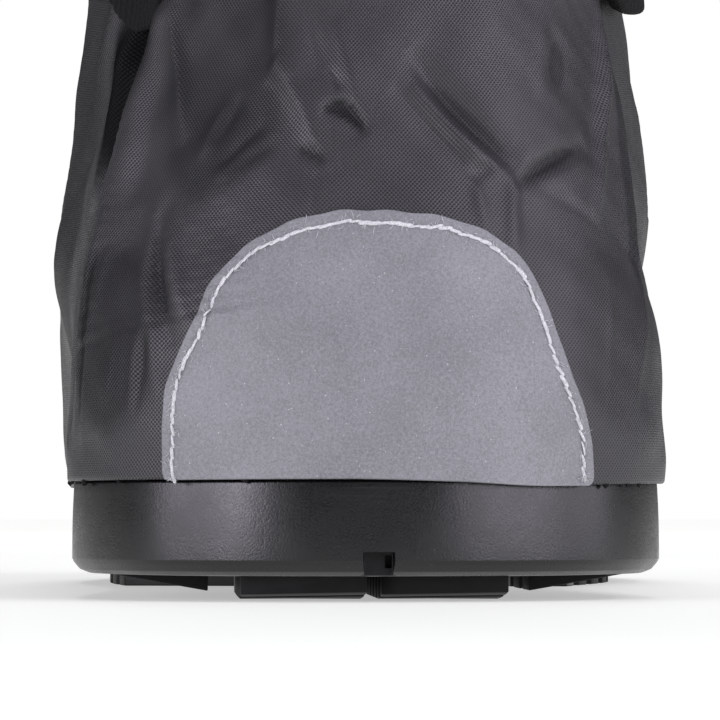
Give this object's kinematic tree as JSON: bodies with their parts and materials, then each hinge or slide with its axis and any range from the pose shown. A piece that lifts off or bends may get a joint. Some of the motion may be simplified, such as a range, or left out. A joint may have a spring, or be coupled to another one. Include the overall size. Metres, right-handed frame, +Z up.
{
  "type": "waterproof overboot",
  "caption": "Left waterproof overboot: hollow woven fabric upper on a moulded rubber sole with lugged tread, a reflective heel patch and an elastic ankle strap.",
  "frame": {"origin": "middle of the boot's plan, on the floor under its tread", "axes": "+Y from heel to toe, +X to the medial side of a left boot, +Z up"},
  "size_m": [0.1196, 0.3158, 0.2761],
  "materials": {
    "rubber": "satin black moulded rubber",
    "fabric": "charcoal coated plain weave",
    "reflective": "grey glass bead reflective cloth",
    "elastic": "black ribbed elastic webbing"
  },
  "bodies": {
    "root": {"outsole": "rubber", "upper": "fabric", "heel_patch": "reflective", "ankle_strap": "elastic"}
  },
  "joints": []
}
